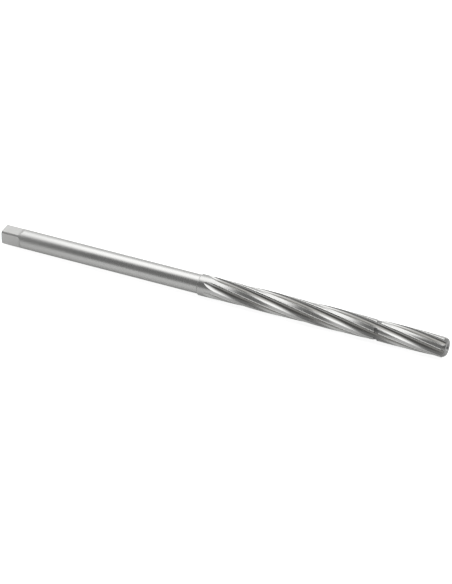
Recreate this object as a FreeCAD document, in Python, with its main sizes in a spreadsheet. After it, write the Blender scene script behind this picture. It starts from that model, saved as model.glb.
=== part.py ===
# Machine reamer with a square drive end and six right-hand spiral flutes, one solid of tool steel.
# The tool lies along X with its tip toward +X, and the frame's origin is the middle of its length, on its axis.
# Sizes are millimetres and degrees. Places along the tool are counted from the drive end.
import FreeCAD, Part
import os
import Sketcher

V = FreeCAD.Vector
doc = FreeCAD.newDocument("machine_reamer")
sheet = doc.addObject("Spreadsheet::Sheet", "sizes")

SIZES = [
    ("overall", 176.0),         # whole length
    ("cutdia", 8.0),            # over the margins of the cutting section
    ("pilotdia", 7.76),         # over the lands of the front guide section
    ("shankdia", 7.24),
    ("stepat", 80.2),           # where the shank steps up to the head
    ("stepchamfer", 0.38),
    ("collar", 2.6),            # from the step to the tips of the flutes
    ("runout", 6.2),            # length over which a flute sinks to full depth
    ("guide", 26.1),            # from the middle of the ring groove to the tip
    ("groovewidth", 1.1),
    ("groovedia", 6.9),
    ("leadin", 1.2),            # chamfer of the cutting section, beside the groove
    ("leadindrop", 0.22),
    ("tipchamfer", 1.1),
    ("squareacross", 5.6),      # across the flats of the drive square
    ("squarelength", 8.2),      # with the cutter's arc at the end of each flat
    ("squarecutter", 2.5),      # radius of that arc
    ("endchamfer", 0.2),
    ("centrehole", 1.6),        # bore of the 60 degree centre in either end
    ("centremouth", 3.2),
    ("centredepth", 3.4),
    ("teeth", 6),
    ("lead", 145.8),            # length along the axis of one turn of the flutes
    ("phase", 7.7),             # turn of the first cutting edge where the flutes reach full depth
    ("margin", 4.5),            # angle of the cylindrical margin behind a cutting edge
    ("land", 20.5),             # angle of margin and relief together
    ("reliefdrop", 0.07),       # how far the relief falls by the heel
    ("heelnormal", 79.0),       # direction that a flute's back faces at the heel, from its own cutting edge
    ("backradius", 4.0),        # hollow of a tooth's back
    ("rootradius", 1.15),       # round at the bottom of a flute, which runs up into the rake face
]
for row, (alias, value) in enumerate(SIZES, start=1):
    sheet.set("A%d" % row, alias)
    sheet.set("B%d" % row, str(value))
    sheet.setAlias("B%d" % row, alias)

# The flute's section has its rake face on the sketch's x axis and the heel of the tooth ahead beyond it. Its two
# hollows are tangent: the back's centre lies square to the heel, and the root's sits one radius off the rake face.
DERIVED = [
    ("pitch", "=360 / teeth"),
    ("fullat", "=stepat + collar + runout"),
    ("grooveat", "=overall - guide"),
    ("heelr", "=cutdia / 2 - reliefdrop"),
    ("heelx", "=heelr * cos((pitch - land) * 1deg)"),
    ("heely", "=heelr * sin((pitch - land) * 1deg)"),
    ("marginx", "=cutdia / 2 * cos((pitch - margin) * 1deg)"),
    ("marginy", "=cutdia / 2 * sin((pitch - margin) * 1deg)"),
    ("backx", "=heelx + backradius * cos((pitch - heelnormal) * 1deg)"),
    ("backy", "=heely + backradius * sin((pitch - heelnormal) * 1deg)"),
    ("rootx", "=backx - sqrt((backradius - rootradius) ^ 2 - (backy - rootradius) ^ 2)"),
    ("joinx", "=rootx + (rootx - backx) * rootradius / (backradius - rootradius)"),
    ("joiny", "=rootradius + (rootradius - backy) * rootradius / (backradius - rootradius)"),
    ("rootmin", "=sqrt(rootx ^ 2 + rootradius ^ 2) - rootradius"),
    ("depth", "=cutdia / 2 - rootmin"),
    ("rootturn", "=atan(rootradius / rootx) / 1deg"),
    ("cutterrun", "=sqrt(2 * squarecutter * (shankdia - squareacross) / 2 - ((shankdia - squareacross) / 2) ^ 2)"),
]
for row, (alias, formula) in enumerate(DERIVED, start=len(SIZES) + 1):
    sheet.set("A%d" % row, alias)
    sheet.set("B%d" % row, formula)
    sheet.setAlias("B%d" % row, alias)
doc.recompute()

body = doc.addObject("PartDesign::Body", "reamer")


def origin_part(role):
    """The body's own origin plane or axis with this role."""
    return [o for o in body.Origin.OriginFeatures if o.Role == role][0]


def new_sketch(name, role):
    sketch = body.newObject("Sketcher::SketchObject", name)
    sketch.AttachmentSupport = [(origin_part(role), "")]
    sketch.MapMode = "FlatFace"
    return sketch


def number(formula):
    return float(sheet.evalExpression(formula))


def bound(sketch, kind, *where, formula):
    """A constraint whose value stays tied to a formula in the sheet's names."""
    i = sketch.addConstraint(Sketcher.Constraint(kind, *where, number(formula)))
    sketch.setExpression("Constraints[%d]" % i, formula)


def bulge(a, b, radius):
    """The middle of the arc from a to b, which swells to the left of that line for a positive radius."""
    chord = b - a
    rise = abs(radius) - (radius ** 2 - (chord.Length / 2) ** 2) ** 0.5
    left = V(-chord.y, chord.x, 0).normalize()
    return (a + b) / 2 + left * (rise if radius > 0 else -rise)


def outline(sketch, points, arcs=()):
    """A closed outline through the points. A side named in arcs is an arc of that radius, a minus sign to the right."""
    arcs = dict(arcs)
    corners = [V(number(x), number(y), 0) for x, y in points]
    for i, a in enumerate(corners):
        b = corners[(i + 1) % len(corners)]
        side = Part.LineSegment(a, b)
        if i in arcs:
            side = Part.Arc(a, bulge(a, b, number(arcs[i])), b)
        sketch.addGeometry(side, False)
    for i, (x, y) in enumerate(points):
        begins, ends = (1, 2)
        before = (i - 1) % len(points)
        if i in arcs and number(arcs[i]) > 0:
            begins = 2
        if before in arcs and number(arcs[before]) > 0:
            ends = 1
        sketch.addConstraint(Sketcher.Constraint("Coincident", before, ends, i, begins))
        bound(sketch, "DistanceX", -1, 1, i, begins, formula=x)
        bound(sketch, "DistanceY", -1, 1, i, begins, formula=y)
        if i in arcs:
            bound(sketch, "Radius", i, formula=arcs[i].lstrip("-"))


def bind(thing, **formulas):
    for name, formula in formulas.items():
        thing.setExpression(name.replace("__", "."), formula)


def along(place):
    """A place along the tool as an X in the frame, whose origin is the middle of the length."""
    return "%s - sizes.overall / 2" % place


def revolve(kind, name, points, arcs=()):
    sketch = new_sketch(name + "_outline", "XZ_Plane")
    outline(sketch, points, arcs)
    feature = body.newObject("PartDesign::" + kind, name)
    feature.Profile = sketch
    feature.ReferenceAxis = (sketch, ["H_Axis"])
    feature.Angle = 360
    body.Tip = feature


def repeat(name, features, count):
    pattern = body.newObject("PartDesign::PolarPattern", name)
    pattern.Originals = features
    pattern.Axis = (origin_part("X_Axis"), [""])
    pattern.Angle = 360
    bind(pattern, Occurrences=count)
    body.Tip = pattern


# Turned blank: shank, step, plain collar and cutting section, lead chamfer, ring groove, guide and tip chamfer.
revolve("Revolution", "blank", [
    (along("0"), "0"),
    (along("0"), "sizes.shankdia / 2 - sizes.endchamfer"),
    (along("sizes.endchamfer"), "sizes.shankdia / 2"),
    (along("sizes.stepat"), "sizes.shankdia / 2"),
    (along("sizes.stepat + sizes.stepchamfer"), "sizes.cutdia / 2"),
    (along("sizes.grooveat - sizes.groovewidth / 2 - sizes.leadin"), "sizes.cutdia / 2"),
    (along("sizes.grooveat - sizes.groovewidth / 2"), "sizes.cutdia / 2 - sizes.leadindrop"),
    (along("sizes.grooveat - sizes.groovewidth / 2"), "sizes.groovedia / 2"),
    (along("sizes.grooveat + sizes.groovewidth / 2"), "sizes.groovedia / 2"),
    (along("sizes.grooveat + sizes.groovewidth / 2"), "sizes.pilotdia / 2"),
    (along("sizes.overall - sizes.tipchamfer"), "sizes.pilotdia / 2"),
    (along("sizes.overall"), "sizes.pilotdia / 2 - sizes.tipchamfer"),
    (along("sizes.overall"), "0"),
])

# One flute's section, square to the axis: rake face, round root, hollow back, the relief behind the margin of the
# tooth ahead, and a closing line outside the blank.
SECTION = [
    ("sizes.cutdia * 0.65", "0"),
    ("sizes.rootx", "0"),
    ("sizes.joinx", "sizes.joiny"),
    ("sizes.heelx", "sizes.heely"),
    ("sizes.marginx * 1.1 - sizes.heelx * 0.1", "sizes.marginy * 1.1 - sizes.heely * 0.1"),
    ("sizes.cutdia * 0.65 * cos(sizes.pitch * 1deg)", "sizes.cutdia * 0.65 * sin(sizes.pitch * 1deg)"),
    ("sizes.cutdia * 0.65 * cos(sizes.pitch * 0.5deg)", "sizes.cutdia * 0.65 * sin(sizes.pitch * 0.5deg)"),
]
HOLLOWS = {1: "-sizes.rootradius", 2: "-sizes.backradius"}


def flute_section(name, back):
    """The section at a share of the run-out before full depth: turned back with the helix and lifted on the
    cutter's arc, which is tangent to the full depth."""
    sketch = new_sketch(name, "YZ_Plane")
    turn = "((sizes.phase - %s * sizes.runout / sizes.lead * 360) * 1deg)" % back
    lift = "sizes.depth * %s ^ 2" % back
    lean = "(%s + sizes.rootturn * 1deg)" % turn
    bind(sketch, AttachmentOffset__Rotation__Angle=turn,
         AttachmentOffset__Base__x="%s * cos(%s)" % (lift, lean),
         AttachmentOffset__Base__y="%s * sin(%s)" % (lift, lean),
         AttachmentOffset__Base__z=along("sizes.fullat - %s * sizes.runout" % back))
    outline(sketch, SECTION, HOLLOWS)
    return sketch


# The flutes: the section goes along a right-hand helix from full depth to beyond the tip, and is lofted through
# ever shallower sections for the run-out. Both are repeated round the tool.
full = flute_section("flute_section", 0)
helix = doc.addObject("Part::Helix", "flute_path")
helix.Placement = FreeCAD.Placement(V(), FreeCAD.Rotation(V(0, 0, 1), V(1, 0, 0)))
bind(helix, Pitch="sizes.lead", Height="sizes.overall - sizes.fullat + 2", Radius="sizes.cutdia / 2",
     Placement__Base__x=along("sizes.fullat"))
doc.recompute()
flute = body.newObject("PartDesign::SubtractivePipe", "flute")
flute.Profile = full
flute.Spine = (helix, ["Edge1"])
flute.Mode = "Frenet"
body.Tip = flute
runout = body.newObject("PartDesign::SubtractiveLoft", "flute_runout")
runout.Profile = flute_section("runout_section_0", 0)
runout.Sections = [(flute_section("runout_section_%d" % k, k * 0.21), [""]) for k in range(1, 6)]
body.Tip = runout
repeat("flutes", [flute, runout], "sizes.teeth")

# Drive square: the cutter's path beside one flat, with its radius at the end, cut four times.
flat = new_sketch("flat_path", "XZ_Plane")
outline(flat, [
    (along("-1"), "sizes.squareacross / 2"),
    (along("sizes.squarelength - sizes.cutterrun"), "sizes.squareacross / 2"),
    (along("sizes.squarelength"), "sizes.shankdia / 2"),
    (along("sizes.squarelength"), "sizes.shankdia"),
    (along("-1"), "sizes.shankdia"),
], {1: "-sizes.squarecutter"})
side = body.newObject("PartDesign::Pocket", "square_flat")
side.Profile = flat
side.Type = "ThroughAll"
side.Midplane = True
repeat("square", [side], "4")

# A 60 degree centre in either end, since the tool is ground between centres.
CONE = "(sizes.centremouth - sizes.centrehole) / 2 * cos(30deg) / sin(30deg)"
for name, end, inward in (("drive_centre", "0", "+"), ("tip_centre", "sizes.overall", "-")):
    revolve("Groove", name, [
        (along(end), "0"),
        (along(end), "sizes.centremouth / 2"),
        (along("%s %s %s" % (end, inward, CONE)), "sizes.centrehole / 2"),
        (along("%s %s sizes.centredepth" % (end, inward)), "sizes.centrehole / 2"),
        (along("%s %s (sizes.centredepth + sizes.centrehole / 4)" % (end, inward)), "0"),
    ])
doc.recompute()

# Nothing is written unless every step worked.
for thing in doc.Objects:
    if "Invalid" in thing.State or "Error" in thing.State:
        raise RuntimeError("%s failed: %s" % (thing.Name, thing.State))
shape = body.Shape
if not shape.isValid() or len(shape.Solids) != 1:
    raise RuntimeError("the reamer isn't one valid solid")

os.makedirs("parts", exist_ok=True)
shape.exportStep("parts/reamer.step")
print("reamer", round(shape.Volume, 1), "mm3", len(shape.Faces), "faces")
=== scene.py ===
import math

import bmesh
import bpy
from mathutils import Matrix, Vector


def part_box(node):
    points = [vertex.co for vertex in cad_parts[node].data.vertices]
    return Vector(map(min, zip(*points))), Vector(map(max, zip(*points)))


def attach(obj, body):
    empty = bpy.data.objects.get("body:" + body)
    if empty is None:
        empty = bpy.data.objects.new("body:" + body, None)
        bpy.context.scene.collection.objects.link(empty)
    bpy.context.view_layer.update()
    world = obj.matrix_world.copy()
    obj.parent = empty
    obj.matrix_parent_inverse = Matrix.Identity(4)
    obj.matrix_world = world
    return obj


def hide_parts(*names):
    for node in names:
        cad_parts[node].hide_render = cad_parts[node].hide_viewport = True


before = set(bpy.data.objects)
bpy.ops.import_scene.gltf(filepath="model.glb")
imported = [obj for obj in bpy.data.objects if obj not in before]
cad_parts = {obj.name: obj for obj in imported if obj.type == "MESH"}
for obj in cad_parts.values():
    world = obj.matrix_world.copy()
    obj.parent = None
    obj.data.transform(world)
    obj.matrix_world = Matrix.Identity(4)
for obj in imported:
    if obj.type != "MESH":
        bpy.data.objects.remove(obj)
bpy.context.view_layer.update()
bpy.ops.object.select_all(action="DESELECT")

# ---- Shank and drive square ----
# A ground rod of tool steel. Its far end is milled to a square whose flats run out in the cutter's arc, and
# it is centre-drilled for grinding. The rod ends just short of the head, which is joined to it further down.
MM = 0.001
low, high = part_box("reamer")
start, tip = low[0], high[0]                # the drive end's face and the tip's face, along X
cut_r = (high[2] - low[2]) / 2              # over the margins of the teeth
flute_lead = 145.8 * MM                     # length of one turn of the flutes
shank_r = 3.62 * MM
step = start + 80.2 * MM                    # where the head begins
joint = step - 0.05 * MM                    # where the rod ends
end_chamfer = 0.2 * MM
across_flats = 5.6 * MM
square_end = start + 8.2 * MM               # with the cutter's arc at the end of each flat
square_cutter_r = 2.5 * MM
drill_mouth_r, drill_bore_r = 1.6 * MM, 0.8 * MM
drill_cone, drill_bore, drill_point = 1.386 * MM, 3.4 * MM, 3.8 * MM    # depths at the end of each part
handled = start + 7 * MM, start + 45 * MM   # stretch over which the wear of handling fades out
root_shade_radii = 3.0 * MM, 3.45 * MM               # radii between which the painted shade in the flute roots fades out
fuzz = 1e-6                                 # slack for finding points that lie on a plane


def choose(piece, wanted, kind="faces"):
    """Select the faces or edges of a piece in edit mode that pass a test on their place or normal."""
    mesh = bmesh.from_edit_mesh(piece.data)
    for part in (mesh.verts, mesh.edges, mesh.faces):
        for thing in part:
            thing.select = False
    for thing in getattr(mesh, kind):
        if wanted(thing):
            thing.select = True
    mesh.select_flush_mode()
    bmesh.update_edit_mesh(piece.data)


def cut(piece, tool):
    """Take one closed tool's shape out of a piece."""
    bpy.ops.object.select_all(action="DESELECT")
    bpy.context.view_layer.objects.active = piece
    bpy.ops.object.modifier_add(type="BOOLEAN")
    piece.modifiers[-1].operation = "DIFFERENCE"
    piece.modifiers[-1].object = tool
    bpy.ops.object.modifier_apply(modifier=piece.modifiers[-1].name)
    bpy.data.objects.remove(tool)


def centre_drill(end, inward):
    """A 60 degree centre drill that stands in an end's face and points into the steel."""
    spare = 0.5 * MM                        # how far it stands out of the face
    reach, radius = -spare, drill_mouth_r + spare * math.tan(math.radians(30))
    bpy.ops.object.select_all(action="DESELECT")
    bpy.ops.mesh.primitive_circle_add(vertices=48, radius=radius, fill_type="NGON",
                                      location=(end + inward * reach, 0, 0), rotation=(0, math.pi / 2, 0))
    drill = bpy.context.object
    bpy.ops.object.transform_apply(location=True, rotation=True, scale=True)
    bpy.ops.object.mode_set(mode="EDIT")
    for depth_there, radius_there in (
            (drill_cone, drill_bore_r), (drill_bore, drill_bore_r), (drill_point, 0.02 * MM)):
        bpy.ops.mesh.extrude_region_move(
            TRANSFORM_OT_translate={"value": (inward * (depth_there - reach), 0, 0)})
        bpy.ops.transform.resize(value=(1, radius_there / radius, radius_there / radius),
                                 center_override=(end + inward * depth_there, 0, 0))
        reach, radius = depth_there, radius_there
    bpy.ops.mesh.select_all(action="SELECT")
    bpy.ops.mesh.normals_make_consistent(inside=False)
    bpy.ops.object.mode_set(mode="OBJECT")
    return drill


def reckon(tree, operation, *terms):
    """A number worked out at each point of a surface from plain numbers and other nodes' outputs."""
    node = tree.nodes.new("ShaderNodeMath")
    node.operation = operation
    for socket, term in zip(node.inputs, terms):
        if isinstance(term, bpy.types.NodeSocket):
            tree.links.new(term, socket)
        else:
            socket.default_value = term
    return node.outputs[0]


def grade(tree, value, given, wanted, ease="SMOOTHSTEP"):
    """Carry a value from one range of numbers to another."""
    node = tree.nodes.new("ShaderNodeMapRange")
    node.interpolation_type = ease
    for name, number in zip(("From Min", "From Max", "To Min", "To Max"), given + wanted):
        node.inputs[name].default_value = number
    tree.links.new(value, node.inputs["Value"])
    return node.outputs[0]


def mottle(tree, place, scale, detail):
    """An uneven grey pattern over a surface."""
    node = tree.nodes.new("ShaderNodeTexNoise")
    node.inputs["Scale"].default_value = scale
    node.inputs["Detail"].default_value = detail
    tree.links.new(place, node.inputs["Vector"])
    return node.outputs["Fac"]


def steel(name, shade, rough, marks, mark_strength, painted_root_shade=1.0, dull=0.0):
    """Bare bright steel. Its tool marks are rings round the tool, a helix along the flutes or lines across a
    flat. Painted shade darkens its colour by the factor painted_root_shade toward the axis, in the flute
    roots, and handling has made it rougher toward the drive end by the value of dull."""
    finish = bpy.data.materials.new(name)
    finish.use_nodes = True
    tree = finish.node_tree
    nodes, links = tree.nodes, tree.links
    shader = nodes["Principled BSDF"]
    shader.inputs["Metallic"].default_value = 1
    place = nodes.new("ShaderNodeTexCoord").outputs["Object"]
    split = nodes.new("ShaderNodeSeparateXYZ")
    links.new(place, split.inputs[0])
    along, y, z = split.outputs

    # Each pattern is drawn out along the marks: its scale is low that way and high across them.
    drawn = {"rings": (5200, 260, 260), "helix": (120, 6000, 1), "across": (2600, 2600, 90)}[marks]
    marked = place
    if marks == "helix":
        turn_back = reckon(tree, "MULTIPLY_ADD", along, -math.tau / flute_lead, reckon(tree, "ARCTAN2", z, y))
        unrolled = nodes.new("ShaderNodeCombineXYZ")
        links.new(along, unrolled.inputs["X"])
        links.new(reckon(tree, "MULTIPLY", turn_back, cut_r), unrolled.inputs["Y"])
        marked = unrolled.outputs[0]
    stretch = nodes.new("ShaderNodeMapping")
    stretch.inputs["Scale"].default_value = drawn
    links.new(marked, stretch.inputs["Vector"])
    lines = mottle(tree, stretch.outputs[0], scale=1, detail=3)
    clouds = mottle(tree, place, scale=320, detail=4)
    uneven = reckon(tree, "MULTIPLY_ADD", clouds, 0.5, reckon(tree, "MULTIPLY", lines, 0.5))

    roughness = grade(tree, uneven, (0.3, 0.7), (rough - 0.05, rough + 0.05), "LINEAR")
    if dull:
        roughness = reckon(tree, "ADD", roughness, grade(tree, along, handled, (dull, 0)))
    links.new(roughness, shader.inputs["Roughness"])

    tone = nodes.new("ShaderNodeValToRGB")
    for element, position, level in zip(tone.color_ramp.elements, (0.3, 0.7), (shade * 0.95, shade * 1.05)):
        element.position, element.color = position, (level, level, level * 0.985, 1)
    links.new(uneven, tone.inputs[0])
    colour = tone.outputs[0]
    # Painted shade: the colour darkens toward the axis, which puts it in the roots of the flutes.
    if painted_root_shade < 1:
        across = nodes.new("ShaderNodeVectorMath")
        across.operation = "MULTIPLY"
        across.inputs[1].default_value = (0, 1, 1)
        links.new(place, across.inputs[0])
        off_axis = nodes.new("ShaderNodeVectorMath")
        off_axis.operation = "LENGTH"
        links.new(across.outputs[0], off_axis.inputs[0])
        root_shade_ramp = nodes.new("ShaderNodeValToRGB")
        root_shade_ramp.color_ramp.elements[0].color = (painted_root_shade * 1.02, painted_root_shade, painted_root_shade * 0.97, 1)
        links.new(grade(tree, off_axis.outputs["Value"], root_shade_radii, (0, 1)), root_shade_ramp.inputs[0])
        darkened = nodes.new("ShaderNodeVectorMath")
        darkened.operation = "MULTIPLY"
        links.new(colour, darkened.inputs[0])
        links.new(root_shade_ramp.outputs[0], darkened.inputs[1])
        colour = darkened.outputs[0]
    links.new(colour, shader.inputs["Base Color"])

    scratches = nodes.new("ShaderNodeBump")
    scratches.inputs["Strength"].default_value = mark_strength
    scratches.inputs["Distance"].default_value = 0.02 * MM
    links.new(lines, scratches.inputs["Height"])
    links.new(scratches.outputs[0], shader.inputs["Normal"])
    return finish


bpy.ops.mesh.primitive_cylinder_add(vertices=144, radius=shank_r, depth=joint - start, end_fill_type="NGON",
                                    location=((start + joint) / 2, 0, 0), rotation=(0, math.pi / 2, 0))
shank = bpy.context.object
bpy.ops.object.transform_apply(location=True, rotation=True, scale=True)
bpy.ops.object.mode_set(mode="EDIT")
bpy.ops.mesh.select_mode(type="EDGE")
choose(shank, lambda e: all(v.co.x < start + fuzz for v in e.verts), "edges")
bpy.ops.mesh.bevel(offset=end_chamfer, segments=1)
bpy.ops.object.mode_set(mode="OBJECT")

flat_depth = shank_r - across_flats / 2
arc_run = math.sqrt(square_cutter_r ** 2 - (square_cutter_r - flat_depth) ** 2)
block_start, block_end = start - MM, square_end - arc_run + square_cutter_r
block_width, block_height = 12 * MM, 6 * MM
for quarter in range(4):
    bpy.ops.mesh.primitive_cube_add(
        size=1, location=((block_start + block_end) / 2, 0, (across_flats + block_height) / 2),
        scale=(block_end - block_start, block_width, block_height))
    block = bpy.context.object
    bpy.ops.object.transform_apply(location=True, rotation=True, scale=True)
    bpy.ops.object.mode_set(mode="EDIT")
    choose(block, lambda e: all(v.co.x > square_end and v.co.z < across_flats for v in e.verts), "edges")
    bpy.ops.mesh.bevel(offset=square_cutter_r, segments=16)
    bpy.ops.object.mode_set(mode="OBJECT")
    block.rotation_euler = (quarter * math.pi / 2, 0, 0)
    bpy.ops.object.transform_apply(location=True, rotation=True, scale=True)
    cut(shank, block)
cut(shank, centre_drill(start, 1))

# The low shade of the turned faces is painted shade on the tip's chamfer and end face.
turned = steel("turned_face", 0.36, 0.32, "rings", 0.40)
shank.data.materials.clear()
for finish in (
        steel("ground_shank", 0.62, 0.27, "rings", 0.08, dull=0.16),
        steel("milled_flat", 0.60, 0.42, "across", 0.45),
        turned):
    shank.data.materials.append(finish)
GROUND, FLAT, FACE = range(3)
for face in shank.data.polygons:
    off_axis = math.hypot(face.center.y, face.center.z)
    if abs(face.normal.x) > 0.6 and face.center.x < start + drill_point + 0.2 * MM:
        face.material_index = FACE
    elif face.center.x < square_end and off_axis < shank_r * 0.995:
        face.material_index = FLAT if off_axis > drill_mouth_r + 0.1 * MM else FACE
    else:
        face.material_index = GROUND

# ---- Fluted head ----
# The bar's turned and ground front half, with a ring groove and a slightly smaller guide section. Six
# right-hand flutes are milled along it, and sink in behind the step along the cutter's arc. Operators can't
# follow that arc round a helix, so the head is laid in code, ring by ring.
guide_r = 3.88 * MM
groove, groove_half, groove_r = tip - 26.1 * MM, 0.55 * MM, 3.45 * MM
step_chamfer, lead_chamfer, tip_chamfer = 0.38 * MM, 1.2 * MM, 1.1 * MM
lead_drop = 0.22 * MM                       # of the cutting section, over its lead chamfer
collar, runout = 2.6 * MM, 6.2 * MM         # plain length at the step, and length over which the flutes sink
full = step + collar + runout               # where the flutes reach full depth
phase = math.radians(7.7)                   # turn of the first cutting edge there
teeth = 6
pitch, margin, land = math.tau / teeth, math.radians(4.5), math.radians(20.5)
relief_drop = 0.07 * MM                     # how far the relief falls by the heel
heel_normal = math.radians(79)              # direction that a tooth's back faces at the heel
back_r, root_r = 4.0 * MM, 1.15 * MM
wall_points, relief_points, margin_points = 36, 6, 4


def polar(radius, angle):
    """The point at a distance and an angle from the axis."""
    return Vector((math.cos(angle), math.sin(angle))) * radius


def arc(middle, radius, begin, end, count):
    """Points on the shorter arc from one direction to another, without the last."""
    sweep = (end - begin + math.pi) % math.tau - math.pi
    return [middle + polar(radius, begin + sweep * i / count) for i in range(count)]


# The wall of a flute: its rake face on the first axis, a round root that is tangent to it, and the hollow
# back of the tooth ahead, up to that tooth's heel.
heel = polar(cut_r - relief_drop, pitch - land)
crest = polar(cut_r, pitch - margin)
back_mid = heel + polar(back_r, pitch - heel_normal)
root_mid = Vector((back_mid.x - math.sqrt((back_r - root_r) ** 2 - (back_mid.y - root_r) ** 2), root_r))
to_root, to_heel = root_mid - back_mid, heel - back_mid
root_turn, heel_turn = math.atan2(to_root.y, to_root.x), math.atan2(to_heel.y, to_heel.x)
wall = [Vector((cut_r * 1.3, 0)), Vector((cut_r, 0))]
wall += arc(root_mid, root_r, -math.pi / 2, root_turn, 24)
wall += arc(back_mid, back_r, root_turn, heel_turn, 36) + [heel]
flute_depth = cut_r - (root_mid.length - root_r)
lean = math.atan2(root_mid.y, root_mid.x)   # direction in which the cutter leaves


def crossing(inner, outer, top):
    """Where the line from a point inside a circle to one outside it crosses it."""
    way = outer - inner
    a, b, c = way.dot(way), inner.dot(way), inner.dot(inner) - top * top
    return inner + way * ((-b + math.sqrt(b * b - a * c)) / a)


def section(top, lift):
    """One flute and the land ahead of it inside a turned radius: the wall, the relief and the margin."""
    shape = [p + polar(lift, lean) for p in wall]
    inside = [i for i, p in enumerate(shape) if p.length < top]
    if inside:
        first, last = inside[0], inside[-1]
        run = [crossing(shape[first], shape[first - 1], top)] + shape[first:last + 1]
        if last < len(shape) - 1:
            run.append(crossing(shape[last], shape[last + 1], top))
    else:
        run = [polar(top, lean), polar(top, lean)]
    lengths = [0]
    for p, q in zip(run, run[1:]):
        lengths.append(lengths[-1] + (q - p).length)
    points, k = [], 0
    for i in range(wall_points):
        want = lengths[-1] * i / wall_points
        while k < len(run) - 2 and lengths[k + 1] < want:
            k += 1
        gap = lengths[k + 1] - lengths[k]
        points.append(run[k].lerp(run[k + 1], (want - lengths[k]) / gap if gap else 0))
    begin, end = math.atan2(run[-1].y, run[-1].x), pitch - margin
    for i in range(relief_points):
        share = i / relief_points
        p = run[-1].lerp(crest, share) if inside and inside[-1] == len(shape) - 1 else polar(top, 0)
        points.append(polar(min(p.length, top), begin + (end - begin) * share))
    after = math.atan2(run[0].y, run[0].x) + pitch
    points += [polar(top, end + (after - end) * i / margin_points) for i in range(margin_points)]
    return points


outline = [
    (step, shank_r), (step + step_chamfer, cut_r), (groove - groove_half - lead_chamfer, cut_r),
    (groove - groove_half, cut_r - lead_drop), (groove - groove_half, groove_r),
    (groove + groove_half, groove_r), (groove + groove_half, guide_r), (tip - tip_chamfer, guide_r),
    (tip, guide_r - tip_chamfer),
]
runout_spacing, tip_spacing, spacing = 0.16 * MM, 0.3 * MM, 0.7 * MM
stations = []                               # the rings' places along the tool, with the radius there
for (x0, r0), (x1, r1) in zip(outline, outline[1:]):
    breaks = [x0] + [x for x in (full - runout, full) if x0 < x < x1] + [x1]
    for a, b in zip(breaks, breaks[1:]):
        if a >= full - runout - fuzz and b <= full + fuzz:
            apart = runout_spacing
        else:
            apart = spacing if a < tip - 2 * MM else tip_spacing
        count = max(1, round((b - a) / apart))
        for i in range(count):
            x = a + (b - a) * i / count
            stations.append((x, r0 if x1 == x0 else r0 + (r1 - r0) * (x - x0) / (x1 - x0)))
stations.append(outline[-1])

RELIEF, FLUTE, TURNED, MARGIN, SHADED_GROOVE = range(5)
columns = wall_points + relief_points + margin_points
mesh = bmesh.new()
rings = []
for x, top in stations:
    points = section(top, flute_depth * (max(0, full - x) / runout) ** 2)
    turn = phase + (x - full) / flute_lead * math.tau
    ring = []
    for tooth in range(teeth):
        c, s = math.cos(turn + tooth * pitch), math.sin(turn + tooth * pitch)
        ring += [mesh.verts.new((x, p.x * c - p.y * s, p.x * s + p.y * c)) for p in points]
    rings.append(ring)
for (x, top), ring, next_ring in zip(stations, rings, rings[1:]):
    for i in range(len(ring)):
        j, column = (i + 1) % len(ring), i % columns
        face = mesh.faces.new((ring[i], ring[j], next_ring[j], next_ring[i]))
        if column < wall_points and x > full - runout - 0.1 * MM:
            face.material_index = FLUTE
        elif abs(x - groove) < groove_half + fuzz:
            face.material_index = SHADED_GROOVE
        elif x > tip - tip_chamfer - 0.05 * MM:
            face.material_index = TURNED
        elif column >= wall_points + relief_points and x > full - runout / 2:
            face.material_index = MARGIN
        else:
            face.material_index = RELIEF
bmesh.ops.remove_doubles(mesh, verts=mesh.verts, dist=2e-6)
bmesh.ops.recalc_face_normals(mesh, faces=mesh.faces)
data = bpy.data.meshes.new("reamer_head")
for finish in (
        steel("ground_relief", 0.58, 0.25, "helix", 0.12),
        # The flutes get painted shade in their roots.
        steel("milled_flute", 0.62, 0.25, "helix", 0.20, painted_root_shade=0.44),
        turned,
        # The margins' pale colour is a painted highlight along the thin margin line.
        steel("ground_margin_highlight", 0.96, 0.68, "rings", 0.12),
        # The groove's dark colour is painted shade in the recess.
        steel("groove_painted_shade", 0.30, 0.40, "rings", 0.30)):
    data.materials.append(finish)
mesh.to_mesh(data)
mesh.free()
head = bpy.data.objects.new("reamer_head", data)
bpy.context.scene.collection.objects.link(head)
bpy.ops.object.select_all(action="DESELECT")
bpy.context.view_layer.objects.active = head
head.select_set(True)
bpy.ops.object.mode_set(mode="EDIT")
bpy.ops.mesh.select_mode(type="EDGE")
for end in (step, tip):
    choose(head, lambda e: e.is_boundary and all(abs(v.co.x - end) < fuzz for v in e.verts), "edges")
    bpy.ops.mesh.edge_face_add()
bpy.ops.object.mode_set(mode="OBJECT")
cut(head, centre_drill(tip, -1))
for face in head.data.polygons:
    if face.normal.x > 0.9 or math.hypot(face.center.y, face.center.z) < drill_mouth_r + 0.05 * MM:
        face.material_index = TURNED

# ---- One piece of steel ----
# The shank and the head are one bar. The two discs that face each other at the step are taken out and the
# rims bridged, so the tool has one closed skin, and only its true corners stay sharp.
bpy.ops.object.select_all(action="DESELECT")
head.select_set(True)
shank.select_set(True)
bpy.context.view_layer.objects.active = head
bpy.ops.object.join()
reamer = bpy.context.object
reamer.name = "reamer_steel"
bpy.ops.object.mode_set(mode="EDIT")
bpy.ops.mesh.select_mode(type="FACE")
choose(reamer, lambda f: abs(f.normal.x) > 0.99 and joint - fuzz < f.calc_center_median().x < step + fuzz)
bpy.ops.mesh.delete(type="FACE")
bpy.ops.mesh.select_mode(type="EDGE")
choose(reamer, lambda e: e.is_boundary, "edges")
bpy.ops.mesh.bridge_edge_loops()
bpy.ops.mesh.select_all(action="SELECT")
bpy.ops.mesh.normals_make_consistent(inside=False)
bpy.ops.object.mode_set(mode="OBJECT")
bpy.ops.object.shade_smooth_by_angle(angle=math.radians(22))
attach(reamer, "root")
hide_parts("reamer")

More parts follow.
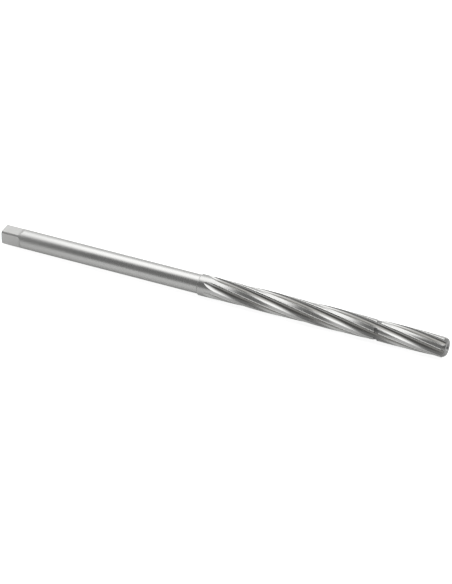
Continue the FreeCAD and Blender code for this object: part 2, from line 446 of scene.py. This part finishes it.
# ---- Floor ----
# A sheet of matt white board that the tool lies on. It looks nearly white, keeps a soft shadow under the
# tool, and shows in the steel as a duller white.
bpy.ops.mesh.primitive_plane_add(size=3, location=(0, 0, low[2] - 0.1 * MM))
floor = bpy.context.object
floor.name = "floor"
board = bpy.data.materials.new("floor_white")
board.use_nodes = True
tree = board.node_tree
nodes, links = tree.nodes, tree.links
nodes.clear()
glow_seen, glow_in_steel = 0.88, 0.24
path = nodes.new("ShaderNodeLightPath")
in_steel = reckon(tree, "MULTIPLY", path.outputs["Is Glossy Ray"], glow_in_steel)
glow = nodes.new("ShaderNodeEmission")
links.new(reckon(tree, "MULTIPLY_ADD", path.outputs["Is Camera Ray"], glow_seen, in_steel),
          glow.inputs["Strength"])
matt = nodes.new("ShaderNodeBsdfDiffuse")
matt.inputs["Color"].default_value = (0.55, 0.55, 0.55, 1)
surface = nodes.new("ShaderNodeAddShader")
links.new(matt.outputs[0], surface.inputs[0])
links.new(glow.outputs[0], surface.inputs[1])
links.new(surface.outputs[0], nodes.new("ShaderNodeOutputMaterial").inputs["Surface"])
floor.data.materials.append(board)

# ---- Light ----
# A studio round the tool, as a level of light for each direction round its axis: dim toward the viewer, a
# broad soft light overhead and a pale wall behind. It fades toward the tip's end of the room.
brightest, dimmest_share = 1.6, 0.4
fading = 0.5, 0.9                           # share of a direction that points along the tool to its tip
stops = [(-90, 0.5), (0, 0.44), (20, 0.22), (58, 0.20), (97, brightest), (122, brightest), (150, 0.72),
         (180, 0.66)]                       # degrees up from the viewer's side, and level
world = bpy.data.worlds.new("room")
bpy.context.scene.world = world
world.use_nodes = True
tree = world.node_tree
nodes, links = tree.nodes, tree.links
room = nodes["Background"]
split = nodes.new("ShaderNodeSeparateXYZ")
links.new(nodes.new("ShaderNodeTexCoord").outputs["Generated"], split.inputs[0])
toward_tip, away, up = split.outputs
climb = reckon(tree, "ARCTAN2", up, reckon(tree, "MULTIPLY", away, -1))
ramp = nodes.new("ShaderNodeValToRGB")
ramp.color_ramp.interpolation = "EASE"
while len(ramp.color_ramp.elements) < len(stops):
    ramp.color_ramp.elements.new(0.5)
for element, (degrees, level) in zip(ramp.color_ramp.elements, stops):
    element.position = (degrees + 180) / 360
    element.color = (level / brightest, level / brightest, level / brightest, 1)
links.new(grade(tree, climb, (-math.pi, math.pi), (0, 1), "LINEAR"), ramp.inputs[0])
links.new(ramp.outputs[0], room.inputs["Color"])
links.new(grade(tree, toward_tip, fading, (brightest, brightest * dimmest_share)), room.inputs["Strength"])
backdrop = nodes.new("ShaderNodeBackground")
backdrop.inputs["Color"].default_value = (1, 1, 1, 1)
shown = nodes.new("ShaderNodeMixShader")
links.new(nodes.new("ShaderNodeLightPath").outputs["Is Camera Ray"], shown.inputs[0])
links.new(room.outputs[0], shown.inputs[1])
links.new(backdrop.outputs[0], shown.inputs[2])
links.new(shown.outputs[0], nodes["World Output"].inputs["Surface"])

# ---- Camera ----
# A long lens that looks down at the tool from the viewer's side, a little from the tip's end. It is aimed
# close to the middle of the tool's length.
turn, rise, distance = math.radians(23.7), math.radians(36), 1.0
aim_along, aim_drop = start + 90.46 * MM, 0.5 * MM
aim = Vector((aim_along, 0, -aim_drop))
back = Vector((math.sin(turn) * math.cos(rise), -math.cos(turn) * math.cos(rise), math.sin(rise)))
bpy.ops.object.camera_add(location=aim + back * distance)
camera = bpy.context.object
camera.rotation_euler = (-back).to_track_quat("-Z", "Y").to_euler()
camera.data.lens = 169.3
camera.data.sensor_width = 36
camera.data.clip_start, camera.data.clip_end = 0.01, 20
bpy.context.scene.camera = camera
bpy.context.scene.view_settings.view_transform = "Standard"
